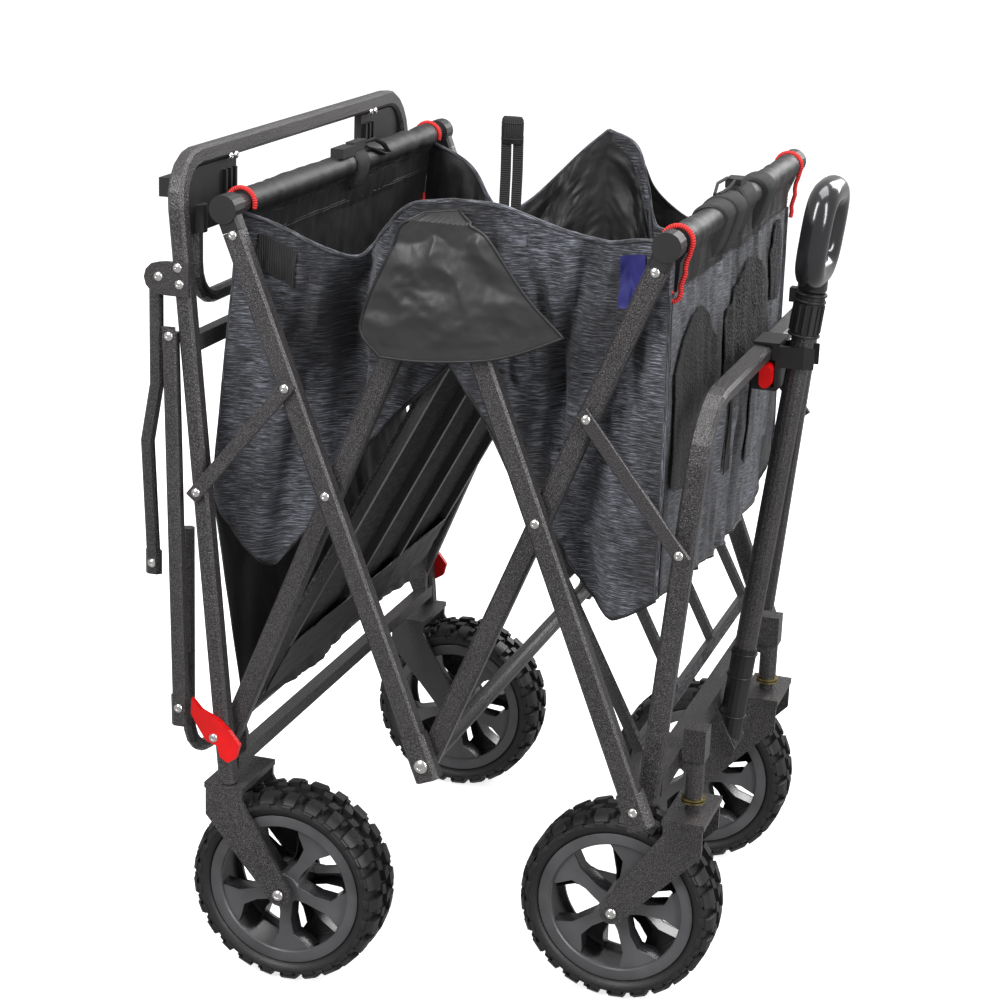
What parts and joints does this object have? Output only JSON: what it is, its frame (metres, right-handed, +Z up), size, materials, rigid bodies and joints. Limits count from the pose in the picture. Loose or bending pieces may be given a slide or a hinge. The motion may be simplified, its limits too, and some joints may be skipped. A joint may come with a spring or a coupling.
{
  "type": "wagon with pull handle",
  "caption": "Collapsible utility wagon, half folded, with a cloth basket, crossing side bars, chunky wheels, front casters and a telescoping pull handle with a loop grip.",
  "frame": {"origin": "on the floor, below the middle of the whole wagon's bounding box", "axes": "+X to the front, where the pull handle is; +Y to the wagon's left; +Z up"},
  "size_m": [0.6083, 0.617, 0.841],
  "materials": {
    "gunmetal_steel": "hammered powder coat",
    "black_plastic": "matte moulded",
    "red_plastic": "glossy",
    "grip_plastic": "glossy",
    "floor_frame": "powder coat under black cloth-covered board",
    "heather_fabric": "blue-grey heather woven polyester",
    "pocket_fabric": "blue-grey heather woven polyester with black lining",
    "webbing": "black woven webbing",
    "tyre_rubber": "matte black, block tread",
    "rim_plastic": "charcoal moulded"
  },
  "bodies": {
    "rear_frame": {"rear_frame_tube": "gunmetal_steel", "rear_low_tube": "gunmetal_steel", "push_loop": "gunmetal_steel", "corner_plate_near": "black_plastic", "corner_plate_far": "black_plastic", "rear_fork_near": "gunmetal_steel", "rear_fork_far": "gunmetal_steel"},
    "rear_rack": {"rack_frame": "gunmetal_steel"},
    "stay_arms": {"stay_arm_near": "gunmetal_steel", "stay_arm_far": "gunmetal_steel"},
    "latch_near": {"rack_latch_near": "red_plastic"},
    "latch_far": {"rack_latch_far": "red_plastic"},
    "rear_wheel_near": {"rear_tyre_near": "tyre_rubber", "rear_rim_near": "rim_plastic"},
    "rear_wheel_far": {"rear_tyre_far": "tyre_rubber", "rear_rim_far": "rim_plastic"},
    "bars_b": {"bar_b_near": "gunmetal_steel", "bar_b_far": "gunmetal_steel"},
    "bars_a": {"bar_a_near": "gunmetal_steel", "bar_a_far": "gunmetal_steel", "rear_rod_joint_near": "black_plastic", "rear_rod_joint_far": "black_plastic", "rear_top_rod": "gunmetal_steel"},
    "bars_c": {"bar_c_near": "gunmetal_steel", "bar_c_far": "gunmetal_steel", "front_rod_joint_near": "black_plastic", "front_rod_joint_far": "black_plastic", "front_top_rod": "gunmetal_steel", "middle_tube": "gunmetal_steel"},
    "bars_d": {"bar_d_near": "gunmetal_steel", "bar_d_far": "gunmetal_steel"},
    "front_frame": {"front_frame_tube": "gunmetal_steel", "front_low_tube": "gunmetal_steel", "handle_clip": "black_plastic"},
    "clip_button": {"clip_button": "red_plastic"},
    "caster_near": {"caster_fork_near": "gunmetal_steel"},
    "caster_far": {"caster_fork_far": "gunmetal_steel"},
    "front_wheel_near": {"front_tyre_near": "tyre_rubber", "front_rim_near": "rim_plastic"},
    "front_wheel_far": {"front_tyre_far": "tyre_rubber", "front_rim_far": "rim_plastic"},
    "handle": {"handle_sleeve": "black_plastic", "handle_tube": "gunmetal_steel", "handle_collar": "black_plastic"},
    "grip": {"handle_slider": "gunmetal_steel", "handle_grip": "grip_plastic"},
    "rear_links": {"rear_link_near": "gunmetal_steel", "rear_link_far": "gunmetal_steel"},
    "front_links": {"front_link_near": "gunmetal_steel", "front_link_far": "gunmetal_steel"},
    "rear_floor": {"rear_floor": "floor_frame"},
    "front_floor": {"front_floor": "floor_frame"},
    "rear_basket": {"rear_panel": "heather_fabric"},
    "middle_basket": {"side_panel_near": "heather_fabric", "side_panel_far": "heather_fabric", "peak_flap_near": "pocket_fabric", "peak_flap_far": "pocket_fabric", "lift_strap": "webbing"},
    "front_basket": {"front_panel": "heather_fabric"}
  },
  "joints": [
    {"name": "fold", "type": "hinge", "parent": "rear_frame", "child": "bars_b", "pos_m": [-0.2161, 0, 0.25], "axis": [0, 1, 0], "range_deg": [-5, 28]},
    {"name": "bars_a_pivot", "type": "hinge", "parent": "bars_b", "child": "bars_a", "pos_m": [-0.10914, 0, 0.51623], "axis": [0, 1, 0], "range_deg": [-57, 12]},
    {"name": "bars_c_pivot", "type": "hinge", "parent": "bars_a", "child": "bars_c", "pos_m": [-0.0071, 0, 0.26151], "axis": [0, 1, 0], "range_deg": [-12, 57]},
    {"name": "bars_d_pivot", "type": "hinge", "parent": "bars_c", "child": "bars_d", "pos_m": [0.09494, 0, 0.51623], "axis": [0, 1, 0], "range_deg": [-57, 12]},
    {"name": "front_frame_pivot", "type": "hinge", "parent": "bars_d", "child": "front_frame", "pos_m": [0.2019, 0, 0.25], "axis": [0, 1, 0], "range_deg": [-6, 29]},
    {"name": "rear_links_pivot", "type": "hinge", "parent": "rear_frame", "child": "rear_links", "pos_m": [-0.2388, 0, 0.5052], "axis": [0, 1, 0], "range_deg": [-10, 50]},
    {"name": "front_links_pivot", "type": "hinge", "parent": "front_frame", "child": "front_links", "pos_m": [0.2274, 0, 0.4997], "axis": [0, 1, 0], "range_deg": [-50, 10]},
    {"name": "rear_floor_hinge", "type": "hinge", "parent": "rear_frame", "child": "rear_floor", "pos_m": [-0.2011, 0, 0.288], "axis": [0, 1, 0], "range_deg": [-9, 43]},
    {"name": "front_floor_hinge", "type": "hinge", "parent": "front_frame", "child": "front_floor", "pos_m": [0.1869, 0, 0.288], "axis": [0, 1, 0], "range_deg": [-43, 9]},
    {"name": "rear_basket_drop", "type": "slide", "parent": "rear_frame", "child": "rear_basket", "axis": [0, 0, 1], "range_m": [-0.16, 0.04]},
    {"name": "middle_basket_spread", "type": "slide", "parent": "rear_basket", "child": "middle_basket", "axis": [1, 0, 0], "range_m": [-0.05, 0.23]},
    {"name": "front_basket_spread", "type": "slide", "parent": "middle_basket", "child": "front_basket", "axis": [1, 0, 0], "range_m": [-0.05, 0.23]},
    {"name": "rear_wheel_spin_near", "type": "hinge", "parent": "rear_frame", "child": "rear_wheel_near", "pos_m": [-0.1524, -0.2615, 0.1], "axis": [0, 1, 0], "continuous": true},
    {"name": "rear_wheel_spin_far", "type": "hinge", "parent": "rear_frame", "child": "rear_wheel_far", "pos_m": [-0.1524, 0.2615, 0.1], "axis": [0, 1, 0], "continuous": true},
    {"name": "caster_swivel_near", "type": "hinge", "parent": "front_frame", "child": "caster_near", "pos_m": [0.2309, -0.175, 0.2075], "axis": [0, 0, 1], "continuous": true},
    {"name": "caster_swivel_far", "type": "hinge", "parent": "front_frame", "child": "caster_far", "pos_m": [0.2309, 0.175, 0.2075], "axis": [0, 0, 1], "continuous": true},
    {"name": "front_wheel_spin_near", "type": "hinge", "parent": "caster_near", "child": "front_wheel_near", "pos_m": [0.1649, -0.175, 0.1], "axis": [0, 1, 0], "continuous": true},
    {"name": "front_wheel_spin_far", "type": "hinge", "parent": "caster_far", "child": "front_wheel_far", "pos_m": [0.1649, 0.175, 0.1], "axis": [0, 1, 0], "continuous": true},
    {"name": "handle_tilt", "type": "hinge", "parent": "front_frame", "child": "handle", "pos_m": [0.2267, 0, 0.211], "axis": [0, 1, 0], "range_deg": [0, 92]},
    {"name": "handle_slide", "type": "slide", "parent": "handle", "child": "grip", "axis": [0.108, 0, 0.9942], "range_m": [0, 0.3]},
    {"name": "clip_release", "type": "slide", "parent": "front_frame", "child": "clip_button", "axis": [0, 1, 0], "range_m": [0, 0.005], "stiffness_N_per_m": 300, "springref_m": -0.003},
    {"name": "rack_hinge", "type": "hinge", "parent": "rear_frame", "child": "rear_rack", "pos_m": [-0.2671, 0, 0.6525], "axis": [0, 1, 0], "range_deg": [0, 80]},
    {"name": "stay_arms_pivot", "type": "hinge", "parent": "rear_frame", "child": "stay_arms", "pos_m": [-0.2876, 0, 0.705], "axis": [0, 1, 0], "range_deg": [0, 68]},
    {"name": "rack_latch_near_turn", "type": "hinge", "parent": "rear_frame", "child": "latch_near", "pos_m": [-0.22, -0.3043, 0.2584], "axis": [0, 1, 0], "range_deg": [0, 60]},
    {"name": "rack_latch_far_turn", "type": "hinge", "parent": "rear_frame", "child": "latch_far", "pos_m": [-0.22, 0.3043, 0.2584], "axis": [0, 1, 0], "range_deg": [0, 60]}
  ],
  "couplings": [
    {"joint": "bars_a_pivot", "follows": "fold", "ratio": -2},
    {"joint": "bars_c_pivot", "follows": "fold", "ratio": 2},
    {"joint": "bars_d_pivot", "follows": "fold", "ratio": -2},
    {"joint": "front_frame_pivot", "follows": "fold", "ratio": 1},
    {"joint": "rear_links_pivot", "follows": "fold", "ratio": 1.72},
    {"joint": "front_links_pivot", "follows": "fold", "ratio": -1.7},
    {"joint": "rear_floor_hinge", "follows": "fold", "ratio": 1.5},
    {"joint": "front_floor_hinge", "follows": "fold", "ratio": -1.5},
    {"joint": "rear_basket_drop", "follows": "fold", "m_per_rad": -0.31},
    {"joint": "middle_basket_spread", "follows": "fold", "m_per_rad": 0.46},
    {"joint": "front_basket_spread", "follows": "fold", "m_per_rad": 0.46},
    {"joint": "stay_arms_pivot", "follows": "rack_hinge", "ratio": 0.84}
  ]
}
